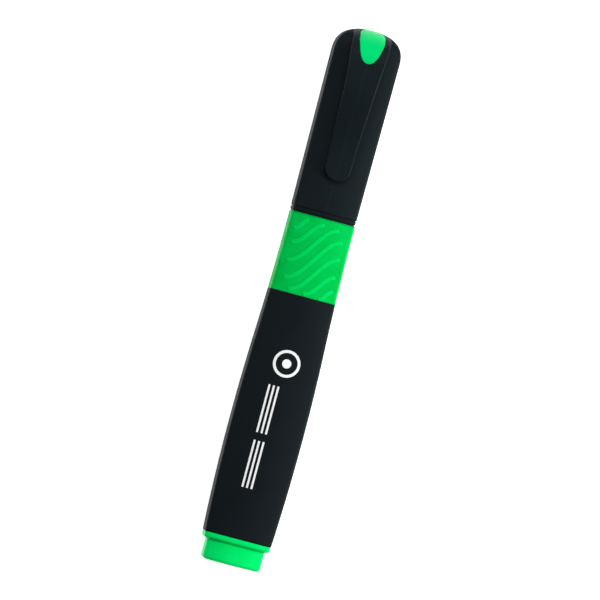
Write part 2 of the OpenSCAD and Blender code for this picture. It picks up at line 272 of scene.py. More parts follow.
def loft(name, rings, joined=False):
    """A solid skinned over rings of equal count. A joined one is a tube whose last ring meets its first."""
    count, n = len(rings), len(rings[0])
    verts = np.vstack(rings)
    faces = []
    for i in range(count if joined else count - 1):
        a, b = i * n, ((i + 1) % count) * n
        faces += [(a + j, b + j, b + (j + 1) % n, a + (j + 1) % n) for j in range(n)]
    if not joined:
        faces.append(range(n))
        faces.append(range((count - 1) * n, count * n))
    return mesh_object(name, verts, faces)


# Room inward at a round end, where the middle line runs the same way as the inset
END_ROOM = 1.5


def slab(name, outline, rim, surface, across):
    """A solid that is the same left and right, with a shaped rim round its outline.

    outline(i) gives (x, l, nx, nl): a point of its right side and the outward direction there.
    rim gives, for each such point, (inset, height) pairs from its top round to its underside. It is told
    the room there is inward before the middle line is met.
    surface(x, l, h) turns a place and a height into a point.
    """
    rings = []
    for x, l, nx, nl in outline:
        room = x / nx if nx > 0.02 else END_ROOM
        right = [(x - inset * nx, l - inset * nl, h) for inset, h in rim(l, room)]
        (x0, l0, h0), (x1, l1, h1) = right[0], right[-1]
        left = [(-px, pl, h) for px, pl, h in reversed(right)]
        top = [(lerp(-x0, x0, i / across), l0, h0) for i in range(1, across)]
        under = [(lerp(x1, -x1, i / across), l1, h1) for i in range(1, across)]
        rings.append(np.array([surface(*p) for p in top + right + under + left]))
    return loft(name, rings)


def cut(obj, cutter):
    """Takes the cutter's shape out of obj, then removes the cutter."""
    mod = obj.modifiers.new("cut", "BOOLEAN")
    mod.operation = "DIFFERENCE"
    mod.solver = "EXACT"
    mod.object = cutter
    evaluated = obj.evaluated_get(bpy.context.evaluated_depsgraph_get())
    mesh = bpy.data.meshes.new_from_object(evaluated)
    obj.modifiers.clear()
    obj.data = mesh
    mesh.shade_smooth()
    mesh.set_sharp_from_angle(angle=SHARP)


def drop(obj):
    bpy.data.objects.remove(obj)


# ---------------------------------------------------------------- materials


class Shader:
    """A Principled material with short ways to add procedural nodes in metres of object space."""

    def __init__(self, name, colour, roughness, **constants):
        self.material = bpy.data.materials.new(name)
        self.material.use_nodes = True
        self.nodes = self.material.node_tree.nodes
        self.links = self.material.node_tree.links
        self.bsdf = self.nodes["Principled BSDF"]
        self.bsdf.inputs["Base Color"].default_value = (*colour, 1)
        self.bsdf.inputs["Roughness"].default_value = roughness
        for socket, value in constants.items():
            self.bsdf.inputs[socket.replace("_", " ")].default_value = value
        self.place = self.nodes.new("ShaderNodeTexCoord").outputs["Object"]

    def node(self, kind, **settings):
        made = self.nodes.new(kind)
        for key, value in settings.items():
            setattr(made, key, value)
        return made

    def stretched(self, x, y, z):
        """Object space scaled along each axis."""
        mapping = self.node("ShaderNodeMapping")
        mapping.inputs["Scale"].default_value = (x, y, z)
        self.links.new(self.place, mapping.inputs["Vector"])
        return mapping.outputs["Vector"]

    def noise(self, size_mm, detail=3, rough=0.5, vector=None):
        """Noise whose features are about size_mm across, 0 to 1."""
        noise = self.node("ShaderNodeTexNoise")
        noise.inputs["Scale"].default_value = 1 / (size_mm * MM)
        noise.inputs["Detail"].default_value = detail
        noise.inputs["Roughness"].default_value = rough
        self.links.new(vector or self.place, noise.inputs["Vector"])
        return noise.outputs["Fac"]

    def ranged(self, value, low, high, from_low=0.3, from_high=0.7):
        """A 0 to 1 value spread over low to high."""
        node = self.node("ShaderNodeMapRange")
        node.inputs["From Min"].default_value = from_low
        node.inputs["From Max"].default_value = from_high
        node.inputs["To Min"].default_value = low
        node.inputs["To Max"].default_value = high
        self.links.new(value, node.inputs["Value"])
        return node.outputs["Result"]

    def mixed(self, factor, a, b):
        """Colour a turning to b as factor goes from 0 to 1. a and b are colours or sockets."""
        mix = self.node("ShaderNodeMix", data_type="RGBA")
        self.links.new(factor, mix.inputs["Factor"])
        for socket, value in ((mix.inputs[6], a), (mix.inputs[7], b)):
            if isinstance(value, tuple):
                socket.default_value = (*value, 1)
            else:
                self.links.new(value, socket)
        return mix.outputs[2]

    def edges(self):
        """1 on convex edges and 0 elsewhere."""
        geometry = self.node("ShaderNodeNewGeometry")
        return self.ranged(geometry.outputs["Pointiness"], 0, 1, 0.52, 0.6)

    def bump(self, height, depth_mm, strength):
        """Surface relief depth_mm high."""
        bump = self.node("ShaderNodeBump")
        bump.inputs["Strength"].default_value = strength
        bump.inputs["Distance"].default_value = depth_mm * MM
        self.links.new(height, bump.inputs["Height"])
        return bump.outputs["Normal"]

    def wire(self, socket, value):
        self.links.new(value, self.bsdf.inputs[socket])


def black_plastic(name, tone, seam_mm=0.0):
    """Satin black moulding with a fine spark-eroded grain, faintly rubbed edges and a parting line."""
    tone = np.array(tone)
    s = Shader(name, tuple(tone), 0.4, Specular_IOR_Level=0.1, Specular_Tint=(0.78, 1, 1, 1))
    grain = s.noise(0.16, detail=4, rough=0.6)
    cloudy = s.noise(9, detail=2)
    speckle = s.mixed(s.ranged(s.noise(0.3), 0, 1), tuple(tone * 0.8), tuple(tone * 1.2))
    rubbed = s.mixed(s.edges(), speckle, tuple(tone * 1.6 + 0.004))
    colour = s.mixed(s.ranged(cloudy, 0, 0.5), rubbed, tuple(tone * 1.25))
    if seam_mm:
        across = s.node("ShaderNodeSeparateXYZ")
        s.links.new(s.place, across.inputs["Vector"])
        off = s.node("ShaderNodeMath", operation="ABSOLUTE")
        s.links.new(across.outputs["X"], off.inputs[0])
        seam = s.ranged(off.outputs[0], 0.6, 0, seam_mm * MM / 2, seam_mm * MM)
        colour = s.mixed(seam, colour, tuple(tone * 2 + 0.003))
    s.wire("Base Color", colour)
    s.wire("Roughness", s.ranged(cloudy, 0.55, 0.63))
    s.wire("Normal", s.bump(grain, 0.006, 0.55))
    return s.material


def green_plastic(name, dark, light):
    """Bright green moulding, a little translucent, smoother than the rubber."""
    s = Shader(name, dark, 0.45, Specular_IOR_Level=0.1, Specular_Tint=(0.02, 1, 0.55, 1))
    s.bsdf.inputs["Subsurface Weight"].default_value = 0.12
    s.bsdf.inputs["Subsurface Radius"].default_value = (0.2, 1.0, 0.4)
    s.bsdf.inputs["Subsurface Scale"].default_value = 0.6 * MM
    flow = s.noise(6, detail=2)
    grain = s.noise(0.2, detail=3)
    tone = s.mixed(s.ranged(flow, 0, 1), dark, light)
    s.wire("Base Color", tone)
    s.wire("Roughness", s.ranged(flow, 0.32, 0.42))
    s.wire("Normal", s.bump(grain, 0.004, 0.4))
    return s.material


def green_rubber():
    """Soft matte rubber with a dusty bloom, a fine pebbled skin and lighter ribs, which are a painted
    highlight.
    """
    s = Shader(
        "green_rubber", (0.0, 0.5, 0.07), 0.6, Specular_IOR_Level=0.1, Specular_Tint=(0.02, 1, 0.45, 1)
    )
    s.bsdf.inputs["Sheen Weight"].default_value = 0.02
    s.bsdf.inputs["Sheen Roughness"].default_value = 0.5
    s.bsdf.inputs["Sheen Tint"].default_value = (0.02, 1, 0.4, 1)
    s.bsdf.inputs["Subsurface Weight"].default_value = 0.1
    s.bsdf.inputs["Subsurface Radius"].default_value = (0.1, 1.0, 0.3)
    s.bsdf.inputs["Subsurface Scale"].default_value = 0.5 * MM
    cloudy = s.noise(5, detail=3)
    pebble = s.noise(0.22, detail=4, rough=0.65)
    tone = s.mixed(s.ranged(cloudy, 0, 1), (0.0, 0.45, 0.055), (0.0, 0.52, 0.08))
    # The raised ribs are painted a lighter green: a painted highlight for the light their tops catch
    rib_painted_highlight = s.node("ShaderNodeAttribute", attribute_name="raised").outputs["Fac"]
    s.wire("Base Color", s.mixed(rib_painted_highlight, tone, (0.0, 0.6, 0.096)))
    s.wire("Roughness", s.ranged(cloudy, 0.5, 0.62))
    s.wire("Normal", s.bump(pebble, 0.009, 0.5))
    return s.material


def pale_plastic():
    """Natural polyethylene: milky, waxy and faintly uneven."""
    s = Shader("pale_plastic", (0.78, 0.8, 0.77), 0.35)
    s.bsdf.inputs["Subsurface Weight"].default_value = 0.3
    s.bsdf.inputs["Subsurface Radius"].default_value = (1.0, 1.0, 0.9)
    s.bsdf.inputs["Subsurface Scale"].default_value = 0.8 * MM
    waxy = s.noise(3, detail=3)
    s.wire("Base Color", s.mixed(s.ranged(waxy, 0, 1), (0.72, 0.745, 0.71), (0.82, 0.835, 0.8)))
    s.wire("Roughness", s.ranged(waxy, 0.28, 0.42))
    s.wire("Normal", s.bump(waxy, 0.01, 0.3))
    return s.material


def nib_felt():
    """Pressed felt soaked with green ink, with fibres that run along the nib."""
    s = Shader("nib_felt", (0.16, 0.72, 0.1), 0.85, Specular_IOR_Level=0.2)
    s.bsdf.inputs["Sheen Weight"].default_value = 0.2
    fibre = s.noise(0.12, detail=5, rough=0.7, vector=s.stretched(1, 0.12, 1))
    soaked = s.noise(2.5, detail=2)
    strands = s.mixed(s.ranged(fibre, 0, 1), (0.1, 0.6, 0.06), (0.26, 0.82, 0.16))
    s.wire("Base Color", s.mixed(s.ranged(soaked, 0, 0.5), strands, (0.05, 0.52, 0.05)))
    s.wire("Roughness", s.ranged(fibre, 0.75, 0.95))
    s.wire("Normal", s.bump(fibre, 0.03, 0.8))
    return s.material


def ink_fibre():
    """Bundled polyester fibre, wet with ink."""
    s = Shader("ink_fibre", (0.2, 0.75, 0.12), 0.7)
    strand = s.noise(0.25, detail=4, vector=s.stretched(1, 0.04, 1))
    s.wire("Base Color", s.mixed(s.ranged(strand, 0, 1), (0.14, 0.66, 0.08), (0.34, 0.86, 0.22)))
    s.wire("Roughness", s.ranged(strand, 0.6, 0.8))
    s.wire("Normal", s.bump(strand, 0.05, 0.7))
    return s.material


def clear_film():
    """Thin milky film with fine creases."""
    s = Shader("clear_film", (0.8, 0.83, 0.82), 0.2)
    crease = s.noise(1.2, detail=3, vector=s.stretched(1, 0.3, 1))
    s.wire("Base Color", s.mixed(s.ranged(crease, 0, 1), (0.74, 0.78, 0.76), (0.84, 0.86, 0.85)))
    s.wire("Roughness", s.ranged(crease, 0.15, 0.3))
    s.wire("Normal", s.bump(crease, 0.02, 0.5))
    return s.material


def white_print():
    """Pad-printed white ink: thin, slightly uneven, with a faint mottle."""
    s = Shader("white_print", (0.86, 0.87, 0.87), 0.5)
    mottle = s.noise(0.35, detail=4, rough=0.6)
    s.wire("Base Color", s.mixed(s.ranged(mottle, 0, 1), (0.8, 0.81, 0.81), (0.9, 0.9, 0.9)))
    s.wire("Roughness", s.ranged(mottle, 0.42, 0.6))
    s.wire("Normal", s.bump(mottle, 0.004, 0.5))
    return s.material


MATERIALS = {
    "black_plastic": black_plastic("black_plastic", (0.0035, 0.0055, 0.0072)),
    # The cap's black is the barrel's black made a little lighter and greener: painted light, standing in for
    # the cap being more lit from above
    "cap_plastic_painted_lighter": black_plastic("cap_plastic_painted_lighter", (0.0036, 0.0064, 0.008), seam_mm=0.09),
    "green_plastic": green_plastic("green_plastic", (0.0, 0.76, 0.14), (0.002, 0.83, 0.165)),
    # The insert's green is a darker copy of the plug's: painted shade that holds down the stronger light on
    # the cap's rounded end; its bluer tint is its own
    "insert_plastic_painted_darker": green_plastic("insert_plastic_painted_darker", (0.0, 0.54, 0.125), (0.001, 0.58, 0.15)),
    "green_rubber": green_rubber(),
    "pale_plastic": pale_plastic(),
    "nib_felt": nib_felt(),
    "ink_fibre": ink_fibre(),
    "clear_film": clear_film(),
    "white_print": white_print(),
}


def finish_piece(obj, slot, *nodes, finish=None):
    """Gives a piece the material named by its slot, or by finish, and hides the CAD nodes it stands for."""
    obj.data.materials.clear()
    obj.data.materials.append(MATERIALS[finish or slot])
    if nodes:
        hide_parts(*nodes)
    return obj


# ---------------------------------------------------------------- barrel, grip, plug


def inset_body_ring(at, inset, **counts):
    """The barrel's section at a place, drawn in by inset all round."""
    w = 2 * (half_width(at) - inset)
    return ring(at, section(w, BODY_D - 2 * inset, CROWN, max(0.3, EDGE_R - inset / 2), **counts))


def make_barrel():
    """Barrel shell with softened rims and a true bore."""
    wall = 1.3
    rims = round_end(BARREL_AT, GRIP_AT, 0.22)
    rims += [(at, 0) for at in np.linspace(BARREL_AT + 1, GRIP_AT - 1, 46)]
    rims += reversed(round_end(GRIP_AT, BARREL_AT, 0.12))
    outer = [inset_body_ring(at, inset) for at, inset in rims]
    inner = [inset_body_ring(at, wall) for at in np.linspace(GRIP_AT, BARREL_AT, 12)]
    barrel = loft("barrel", outer + inner, joined=True)
    finish_piece(barrel, "black_plastic", "barrel_shell")
    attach(barrel, "barrel")


# Each wave as (x0, y0, x1, y1) about the pattern's middle: an S that eases from low to high
MIDDLE_WAVE = (-6.0, -5.8, 6.0, 5.8)
SIDE_WAVES = [(-6.4, -1.5, 4.25, 8.4), (-6.3, 3.1, 0.2, 8.8), (-6.5, 6.7, -4.0, 9.1)]
WAVE_HALF_W = 0.475
WAVE_FLANK = 0.36
WAVE_H = 0.13


def wave_lines():
    """Points along the middle of each wave, in x and place along the pen."""
    middle_at = (GRIP_AT + RING_AT) / 2 - 0.75
    lines = []
    for x0, y0, x1, y1 in [MIDDLE_WAVE] + SIDE_WAVES:
        u = np.linspace(0.035, 0.965, 160)
        line = np.column_stack([lerp(x0, x1, u), lerp(y0, y1, (1 - np.cos(np.pi * u)) / 2)])
        turned = [line] if (x0, y0) == MIDDLE_WAVE[:2] else [line, -line]
        lines += [t + (0, middle_at) for t in turned]
    return np.vstack(lines)


def wave_height(x, at, lines):
    """Height of the raised waves over the rubber at each (x, at)."""
    height = np.zeros(len(x))
    for start in range(0, len(x), 4000):
        part = slice(start, start + 4000)
        near = np.hypot(x[part, None] - lines[None, :, 0], at[part, None] - lines[None, :, 1]).min(axis=1)
        t = np.clip((WAVE_HALF_W + WAVE_FLANK / 2 - near) / WAVE_FLANK, 0, 1)
        height[part] = WAVE_H * t * t * (3 - 2 * t)
    return height


# The rubber stops a little short of the ring, which leaves a fine dark gap
GRIP_END = RING_AT - 0.32


def make_grip():
    """Rubber sleeve with its seven raised waves as real relief."""
    wall = 0.9
    rims = round_end(GRIP_AT, RING_AT, 0.18)
    rims += [(at, 0) for at in np.linspace(GRIP_AT + 0.3, RING_AT - 0.4, 270)]
    rims += reversed(round_end(GRIP_END, GRIP_AT, 0.2))
    counts = dict(front=250, back=24, edge=6, side=4)
    lines = wave_lines()
    front_from = AXIS_Z + BODY_D / 2 - CROWN - EDGE_R
    outer = []
    for at, inset in rims:
        points = inset_body_ring(at, inset, **counts)
        on_front = points[:, Z] > front_from
        x, place = points[on_front, X], points[on_front, Y]
        points[on_front, Z] += wave_height(x, place, lines)
        outer.append(points)
    inner = [inset_body_ring(at, wall, **counts) for at in (GRIP_END, GRIP_AT)]
    grip = loft("grip", outer + inner, joined=True)
    # raised holds how far each point is up a rib; the rubber paints the ribs lighter from it, a painted
    # highlight
    raised = grip.data.attributes.new("raised", "FLOAT", "POINT")
    places = np.empty(3 * len(grip.data.vertices))
    grip.data.vertices.foreach_get("co", places)
    x, place, z = places.reshape(-1, 3).T / MM
    on_front = z > front_from
    raised.data.foreach_set("value", wave_height(x, place - REAR, lines) / WAVE_H * on_front)
    finish_piece(grip, "green_rubber", "grip_sleeve")
    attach(grip, "barrel")


def make_plug():
    """Rear plug: post with a rounded rim, small fillet, flange and the plug inside the barrel."""
    rim_r, fillet, flange_r = 0.75, 0.3, 0.8
    flange_d = BODY_D - 0.3
    rings = [
        ring(at, section(POST_W - 2.8 * inset, POST_D - 2 * inset, CROWN, EDGE_R))
        for at, inset in round_end(0, POST_L, rim_r, 6)
    ]
    rings += [ring(at, section(POST_W, POST_D)) for at in (1.5, 2.5, 3.5)]
    for t in quarter(0, 90, 4):
        grow = 2 * fillet * (1 - math.cos(t))
        at = POST_L - fillet * (1 - math.sin(t))
        rings.append(ring(at, section(POST_W + grow, POST_D + grow)))
    rings += [
        ring(at, section(FLANGE_W - 2 * inset, flange_d - 2 * inset))
        for at, inset in round_end(POST_L, BARREL_AT, flange_r, 7)
    ]
    rings += [
        ring(at, section(FLANGE_W - 2 * inset, flange_d - 2 * inset))
        for at, inset in reversed(round_end(BARREL_AT - 0.02, POST_L, 0.12, 3))
    ]
    walls = 2.8
    inner = section(2 * half_width(BARREL_AT) - walls, BODY_D - walls, CROWN, 0.6)
    rings += [ring(at, inner) for at in (BARREL_AT - 0.02, BARREL_AT + 6)]
    plug = loft("rear_plug", rings)
    finish_piece(plug, "green_plastic", "end_plug")
    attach(plug, "barrel")


# ---------------------------------------------------------------- front section and nib


def as_circle(points, r):
    """The section's points moved onto a circle of radius r, each along its own direction."""
    return points * (r / np.linalg.norm(points, axis=1))[:, None]


def as_slot(points, w, t):
    """The section's points moved onto a rounded rectangle w by t."""
    power = 8
    angle = np.arctan2(points[:, 1] / t, points[:, 0] / w)
    c, s = np.cos(angle), np.sin(angle)
    size = (np.abs(c) ** power + np.abs(s) ** power) ** (-1 / power)
    return np.column_stack([w / 2 * c * size, t / 2 * s * size])


def make_front_section():
    """Thin ring, spigot with its snap bead, rounded shoulder, round stub and the cone that holds the nib."""
    ring_w, ring_d = WAIST_W - 0.12, BODY_D - 0.12
    post = section(POST_W, POST_D)

    def ring_inset(at, inset):
        return ring(at, section(ring_w - 2 * inset, ring_d - 2 * inset))

    def post_inset(at, inset):
        return ring(at, section(POST_W - 2 * inset, POST_D - 2 * inset))

    # The ring, with a fine groove on either side
    under_grip, groove = 1, 0.22
    ring_from, ring_end = RING_AT + 0.08, CAP_AT - 0.14
    rings = [ring_inset(at, under_grip) for at in (RING_AT - 3, GRIP_END + 0.01)]
    rings += [ring_inset(at, groove) for at in (GRIP_END + 0.02, ring_from)]
    rings += [ring_inset(at, inset) for at, inset in round_end(ring_from, CAP_AT, 0.12, 3)]
    rings += [ring_inset(at, inset) for at, inset in reversed(round_end(ring_end, RING_AT, 0.14, 4))]
    rings += [ring_inset(at, groove) for at in (ring_end, CAP_AT + 0.05)]

    # The spigot with its bead
    bead_at, bead_half, bead_h = CAP_AT + 2.2, 0.5, 0.055
    bead = np.linspace(bead_at - bead_half, bead_at + bead_half, 9)
    for at in [CAP_AT + 0.05, CAP_AT + 0.8, *bead, SPIGOT_END - 1.2]:
        swell = bead_h * max(0, 1 - ((at - bead_at) / bead_half) ** 2)
        rings.append(post_inset(at, -swell))
    rings += [post_inset(at, inset) for at, inset in reversed(round_end(SPIGOT_END, CAP_AT, 0.7, 6))]

    # The stub with a fillet at its foot
    foot_r, fillet = STUB_R + 0.5, 0.5
    for t in quarter(90, 0, 5):
        foot = as_circle(post, foot_r - fillet * math.cos(t))
        rings.append(ring(SPIGOT_END + fillet * (1 - math.sin(t)), foot))
    rings.append(ring(STUB_END - 0.3, as_circle(post, STUB_R)))
    rings.append(ring(STUB_END + 0.4, as_circle(post, STUB_R - 0.06)))

    # The cone, its rounded rim and the nib's slot
    rim = 0.35
    rings.append(ring(SECTION_END - rim, as_circle(post, CONE_R + 0.03)))
    for t in quarter(0, 90, 4):
        at = SECTION_END - rim * (1 - math.sin(t))
        rings.append(ring(at, as_circle(post, CONE_R - rim * (1 - math.cos(t)))))
    for at, grow in ((SECTION_END, 0.16), (SECTION_END - 0.08, 0.02), (SECTION_END - 2.5, 0.02)):
        rings.append(ring(at, as_slot(post, NIB_W + 2 * grow, NIB_T + 2 * grow)))
    piece = loft("front_section", rings)
    finish_piece(piece, "black_plastic", "nib_section")
    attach(piece, "barrel")


def make_nib():
    """Chisel nib: a felt bar with softened edges, cut slantwise and thinned towards its writing edge."""
    base = section(NIB_W, NIB_T, 0.1, 0.5, front=24, back=24, edge=5, side=8)
    slant, thin_l, edge_t = 2.6, 6.0, 1.3
    start = SECTION_END - 4
    thin_at = NIB_END - thin_l
    rings = []
    # The last part of the nib, from soft_from on, closes in a rounded edge
    soft_from = 0.96
    for u in np.concatenate([np.linspace(0, 0.97, 30), [0.985, 0.995, 1.0]]):
        share = np.clip((lerp(start, NIB_END, u) - thin_at) / thin_l, 0, 1)
        soft = 1.0
        if u > soft_from:
            soft = math.sqrt(max(0.0, 1 - ((u - soft_from) / (1 - soft_from)) ** 2)) * 0.7 + 0.3
        thick = lerp(1, edge_t / NIB_T, share) * soft
        wide = 1 - 0.05 * (1 - soft)
        end_at = NIB_END - slant * (0.5 - base[:, 0] / NIB_W)
        at = start + (end_at - start) * u
        rings.append(np.column_stack([base[:, 0] * wide, at, base[:, 1] * thick + AXIS_Z]))
    nib = loft("chisel_nib", rings)
    finish_piece(nib, "nib_felt", "nib")
    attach(nib, "barrel")


# ---------------------------------------------------------------- cap


def cap_ring(at, inset=0.0):
    """The cap's outer section at a place, without its hump."""
    w = 2 * cap_half_width(at)
    depth = fall(at, CAP_BEND_AT, HEAD_POWER)
    base = section(CAP_W1 - 2 * inset, BODY_D - 2 * inset)
    return np.column_stack(
        [base[:, 0] * w / CAP_W1, np.full(len(base), at), base[:, 1] * depth + AXIS_Z]
    )


def make_cap():
    """Cap shell: softened mouth, rounded top and the socket inside. The hump is part of the clip piece."""
    outer = [cap_ring(at, inset) for at, inset in round_end(CAP_AT, TOTAL, 0.18)]
    outer += [cap_ring(at) for at in np.linspace(CAP_AT + 1, DOME_AT, 24)]
    turns = quarter(6, 87, 22)
    outer += [cap_ring(DOME_AT + DOME_L * math.sin(t) ** (2 / PLAN_POWER)) for t in turns]
    socket = section(POST_W + 2 * SOCKET_GAP, POST_D + 2 * SOCKET_GAP)
    inner = [ring(at, socket) for at in np.linspace(TOTAL - 8, CAP_AT + 0.3, 6)]
    inner.append(ring(CAP_AT, socket * (1 + 0.25 / POST_W)))
    cap = loft("cap", inner + outer)
    finish_piece(cap, "black_plastic", "cap_shell", finish="cap_plastic_painted_lighter")
    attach(cap, "cap")
    return cap


# The arm's top, from its tip to the level hump, as (place, height above the cap's face)
ARM_TOP = smooth_through([
    (ARM_TIP_AT - 1, 1.4), (ARM_TIP_AT + 4, 1.62), (ARM_TIP_AT + 8, 1.88), (ARM_TIP_AT + 11, 2.27),
    (ARM_TIP_AT + 14, 2.84), (ARM_TIP_AT + 18, 3.66), (ARM_TIP_AT + 21, 4.17),
    (ARM_TIP_AT + 24, HUMP_H - 0.13), (ARM_TIP_AT + 27, HUMP_H - 0.02), (ARM_TIP_AT + 29, HUMP_H),
    (HUMP_BEND_AT, HUMP_H),
])
# Half width of the arm's and hump's flat top
CREST_W = smooth_through([
    (ARM_TIP_AT + 3.3, 3.3), (ARM_TIP_AT + 6.7, 3.32), (ARM_TIP_AT + 13, 3.52), (ARM_TIP_AT + 19.3, 3.76),
    (ARM_TIP_AT + 24, 3.98), (ARM_ROOT_AT, 4.2), (ARM_ROOT_AT + 2, 4.36), (ARM_ROOT_AT + 4, 4.52),
    (ARM_ROOT_AT + 6, 4.66), (ARM_ROOT_AT + 9, 4.82), (TOTAL, 4.9),
])
TIP_R = 3.3
ARM_T = 1.7
DRAFT = 0.03
CREST_R = 0.3
# Depth of the clip below its top line: the arm's thickness, then a long fillet down into the cap
CLIP_DEPTH = smooth_through([
    (ARM_TIP_AT - 1, 0.95), (ARM_TIP_AT + 1, 1.15), (ARM_TIP_AT + 2.5, 1.4), (ARM_TIP_AT + 4.5, 1.42),
    (ARM_TIP_AT + 7, 1.3), (ARM_TIP_AT + 11, 1.55), (ARM_TIP_AT + 16, ARM_T), (ARM_ROOT_AT - 3, ARM_T),
    (ARM_ROOT_AT - 1, 1.85), (ARM_ROOT_AT + 1, 2.25), (ARM_ROOT_AT + 3, 3.05), (ARM_ROOT_AT + 5, 4.1),
    (ARM_ROOT_AT + 7, 5.3), (ARM_ROOT_AT + 9, 7.2), (TOTAL, 11),
])


def head_curve(turn, reach, high):
    """A point of the head's rounded side outline at an angle, as (place, height)."""
    return (
        HUMP_BEND_AT + reach * math.sin(turn) ** (2 / HEAD_POWER),
        AXIS_Z + high * math.cos(turn) ** (2 / HEAD_POWER),
    )


HEAD_REACH = TOTAL - HUMP_BEND_AT
HEAD_HIGH = AXIS_Z + HUMP_H


class HeadPath:
    """The hump's top line: straight, then round the cap's end. l is the distance along it."""

    def __init__(self):
        turns = quarter(0, 89.7, 400)
        points = np.array([head_curve(t, HEAD_REACH, HEAD_HIGH) for t in turns])
        steps = np.linalg.norm(np.diff(points, axis=0), axis=1)
        self.length = HUMP_BEND_AT + np.concatenate([[0], np.cumsum(steps)])
        self.points = points
        self.turns = turns
        self.end = self.length[-1]

    def at(self, l):
        """(place, height), (normal along the pen, normal up) and the head's angle at distance l."""
        if l <= HUMP_BEND_AT:
            slope = (ARM_TOP(l + 0.05) - ARM_TOP(l - 0.05)) / 0.1 if l < HUMP_BEND_AT - 0.1 else 0.0
            size = math.hypot(1, slope)
            return (l, FACE_Z + float(ARM_TOP(l))), (-slope / size, 1 / size), 0.0
        place = [np.interp(l, self.length, self.points[:, k]) for k in (0, 1)]
        turn = float(np.interp(l, self.length, self.turns))
        u = (place[0] - HUMP_BEND_AT) / HEAD_REACH
        v = (place[1] - AXIS_Z) / HEAD_HIGH
        normal = (u ** (HEAD_POWER - 1) / HEAD_REACH, v ** (HEAD_POWER - 1) / HEAD_HIGH)
        size = math.hypot(*normal)
        return place, (normal[0] / size, normal[1] / size), turn


HEAD = HeadPath()


def to_plan(x, at):
    """A head place on the middle line moved to x, following the cap's rounded end in plan."""
    if at <= HUMP_BEND_AT:
        return at
    end = DOME_AT + DOME_L * (1 - min(1, abs(x) / (CAP_W1 / 2)) ** PLAN_POWER) ** (1 / PLAN_POWER)
    return lerp(HUMP_BEND_AT, end, (at - HUMP_BEND_AT) / HEAD_REACH)


def clip_outline():
    """Right side of the clip in plan, as (x, l, nx, nl), from the cap's end down to the tip's middle."""
    round_head = np.linspace(HEAD.end, HUMP_BEND_AT, 60)
    straight = np.linspace(HUMP_BEND_AT - 0.25, ARM_TIP_AT + TIP_R + 0.4, 90)
    sides = []
    for l in np.concatenate([round_head, straight]):
        (at, _), _, _ = HEAD.at(l)
        sides.append((float(CREST_W(at)), l, 1.0, 0.0))
    tip = []
    centre = ARM_TIP_AT + TIP_R
    for t in quarter(0, 90, 22):
        c, s = math.cos(t), math.sin(t)
        tip.append((TIP_R * c, centre - TIP_R * s, c, -s))
    return sides + tip


def clip_depth(l):
    """Distance from the clip's top to its underside at l, and the direction down there."""
    (at, z), _, turn = HEAD.at(l)
    depth = float(CLIP_DEPTH(min(at, TOTAL)))
    if l <= HUMP_BEND_AT:
        return depth, (0.0, -1.0)
    in_cap = 0.6
    low = head_curve(turn, HEAD_REACH - in_cap, AXIS_Z - in_cap)
    share = min(1.0, (at - HUMP_BEND_AT) / (HEAD_REACH - 2))
    inward = ((low[0] - at) * share, lerp(-1, low[1] - z, share))
    size = math.hypot(*inward)
    return min(depth, math.hypot(low[0] - at, low[1] - z)), (inward[0] / size, inward[1] / size)


def clip_rim(l, room):
    """Crest rounding, drafted wall and rounded lower edge of the clip, as (inset, depth) pairs."""
    depth, _ = clip_depth(l)
    low_r = min(0.28, 0.6 * room)
    r = min(CREST_R, depth / 3, 0.6 * room)
    pairs = [(min(r + 0.12, 0.8 * room), 0.0)]
    pairs += [(r - r * math.sin(t), r - r * math.cos(t)) for t in quarter(0, 90, 6)]
    wall_end = depth - low_r
    pairs += [(-DRAFT * (d - r), d) for d in np.linspace(r, wall_end, 7)[1:]]
    out = -DRAFT * (wall_end - r)
    turns = quarter(0, 90, 4)[1:]
    return pairs + [(out + low_r * (1 - math.cos(t)), wall_end + low_r * math.sin(t)) for t in turns]


def clip_surface(x, l, depth):
    """A point of the clip: depth below its top line at l, across the pen at x, with a slight crown."""
    crown, crown_below = 0.09, 0.4
    (at, z), (ny, nz), _ = HEAD.at(l)
    _, (dy, dz) = clip_depth(l)
    width = float(CREST_W(l))
    lift = crown * (1 - min(1.0, (x / width) ** 2)) if depth < crown_below else 0.0
    return (x, to_plan(x, at + ny * lift + dy * depth), z + nz * lift + dz * depth)


def make_clip():
    """Hump and springy arm in one moulding, bending from the cap's body to the arm's."""
    return slab("clip", clip_outline(), clip_rim, clip_surface, across=14)


INSERT_LEN = 14


def insert_outline(gap=0.0):
    """Right side of the insert as (x, l, nx, nl): a narrow round foot, flared sides and a round far end."""
    foot = INSERT_AT - 0.42
    half = smooth_through([
        (0, 0), (0.07, 0.52), (0.28, 0.99), (0.65, 1.42), (1, 1.68), (1.5, 1.98), (2.2, 2.32), (4.3, 2.9),
        (5.4, 3.1), (6.6, 3.27), (8, INSERT_W / 2), (9.4, 3.24), (10.8, 2.98), (12, 2.52), (12.9, 1.95),
        (13.5, 1.36), (13.87, 0.72), (INSERT_LEN, 0),
    ])
    ends = 0.5 * (1 - np.cos(np.linspace(0, np.pi, 72)))
    places = ends * INSERT_LEN
    xs = half(places)
    line = np.column_stack([xs, places])
    tangent = np.gradient(line, axis=0)
    tangent /= np.linalg.norm(tangent, axis=1)[:, None]
    normal = np.column_stack([tangent[:, 1], -tangent[:, 0]])
    normal[0], normal[-1] = (0, -1), (0, 1)
    grown = line + normal * gap
    grown[0, 0] = grown[-1, 0] = 0
    return [(x, foot + l, nx, nl) for (x, l), (nx, nl) in zip(grown, normal)]


def head_surface(x, l, depth):
    """A point at a depth under the hump's smooth top, used by the insert and its pocket."""
    (at, z), (ny, nz), _ = HEAD.at(l)
    return (x, to_plan(x, at - ny * depth), z - nz * depth)


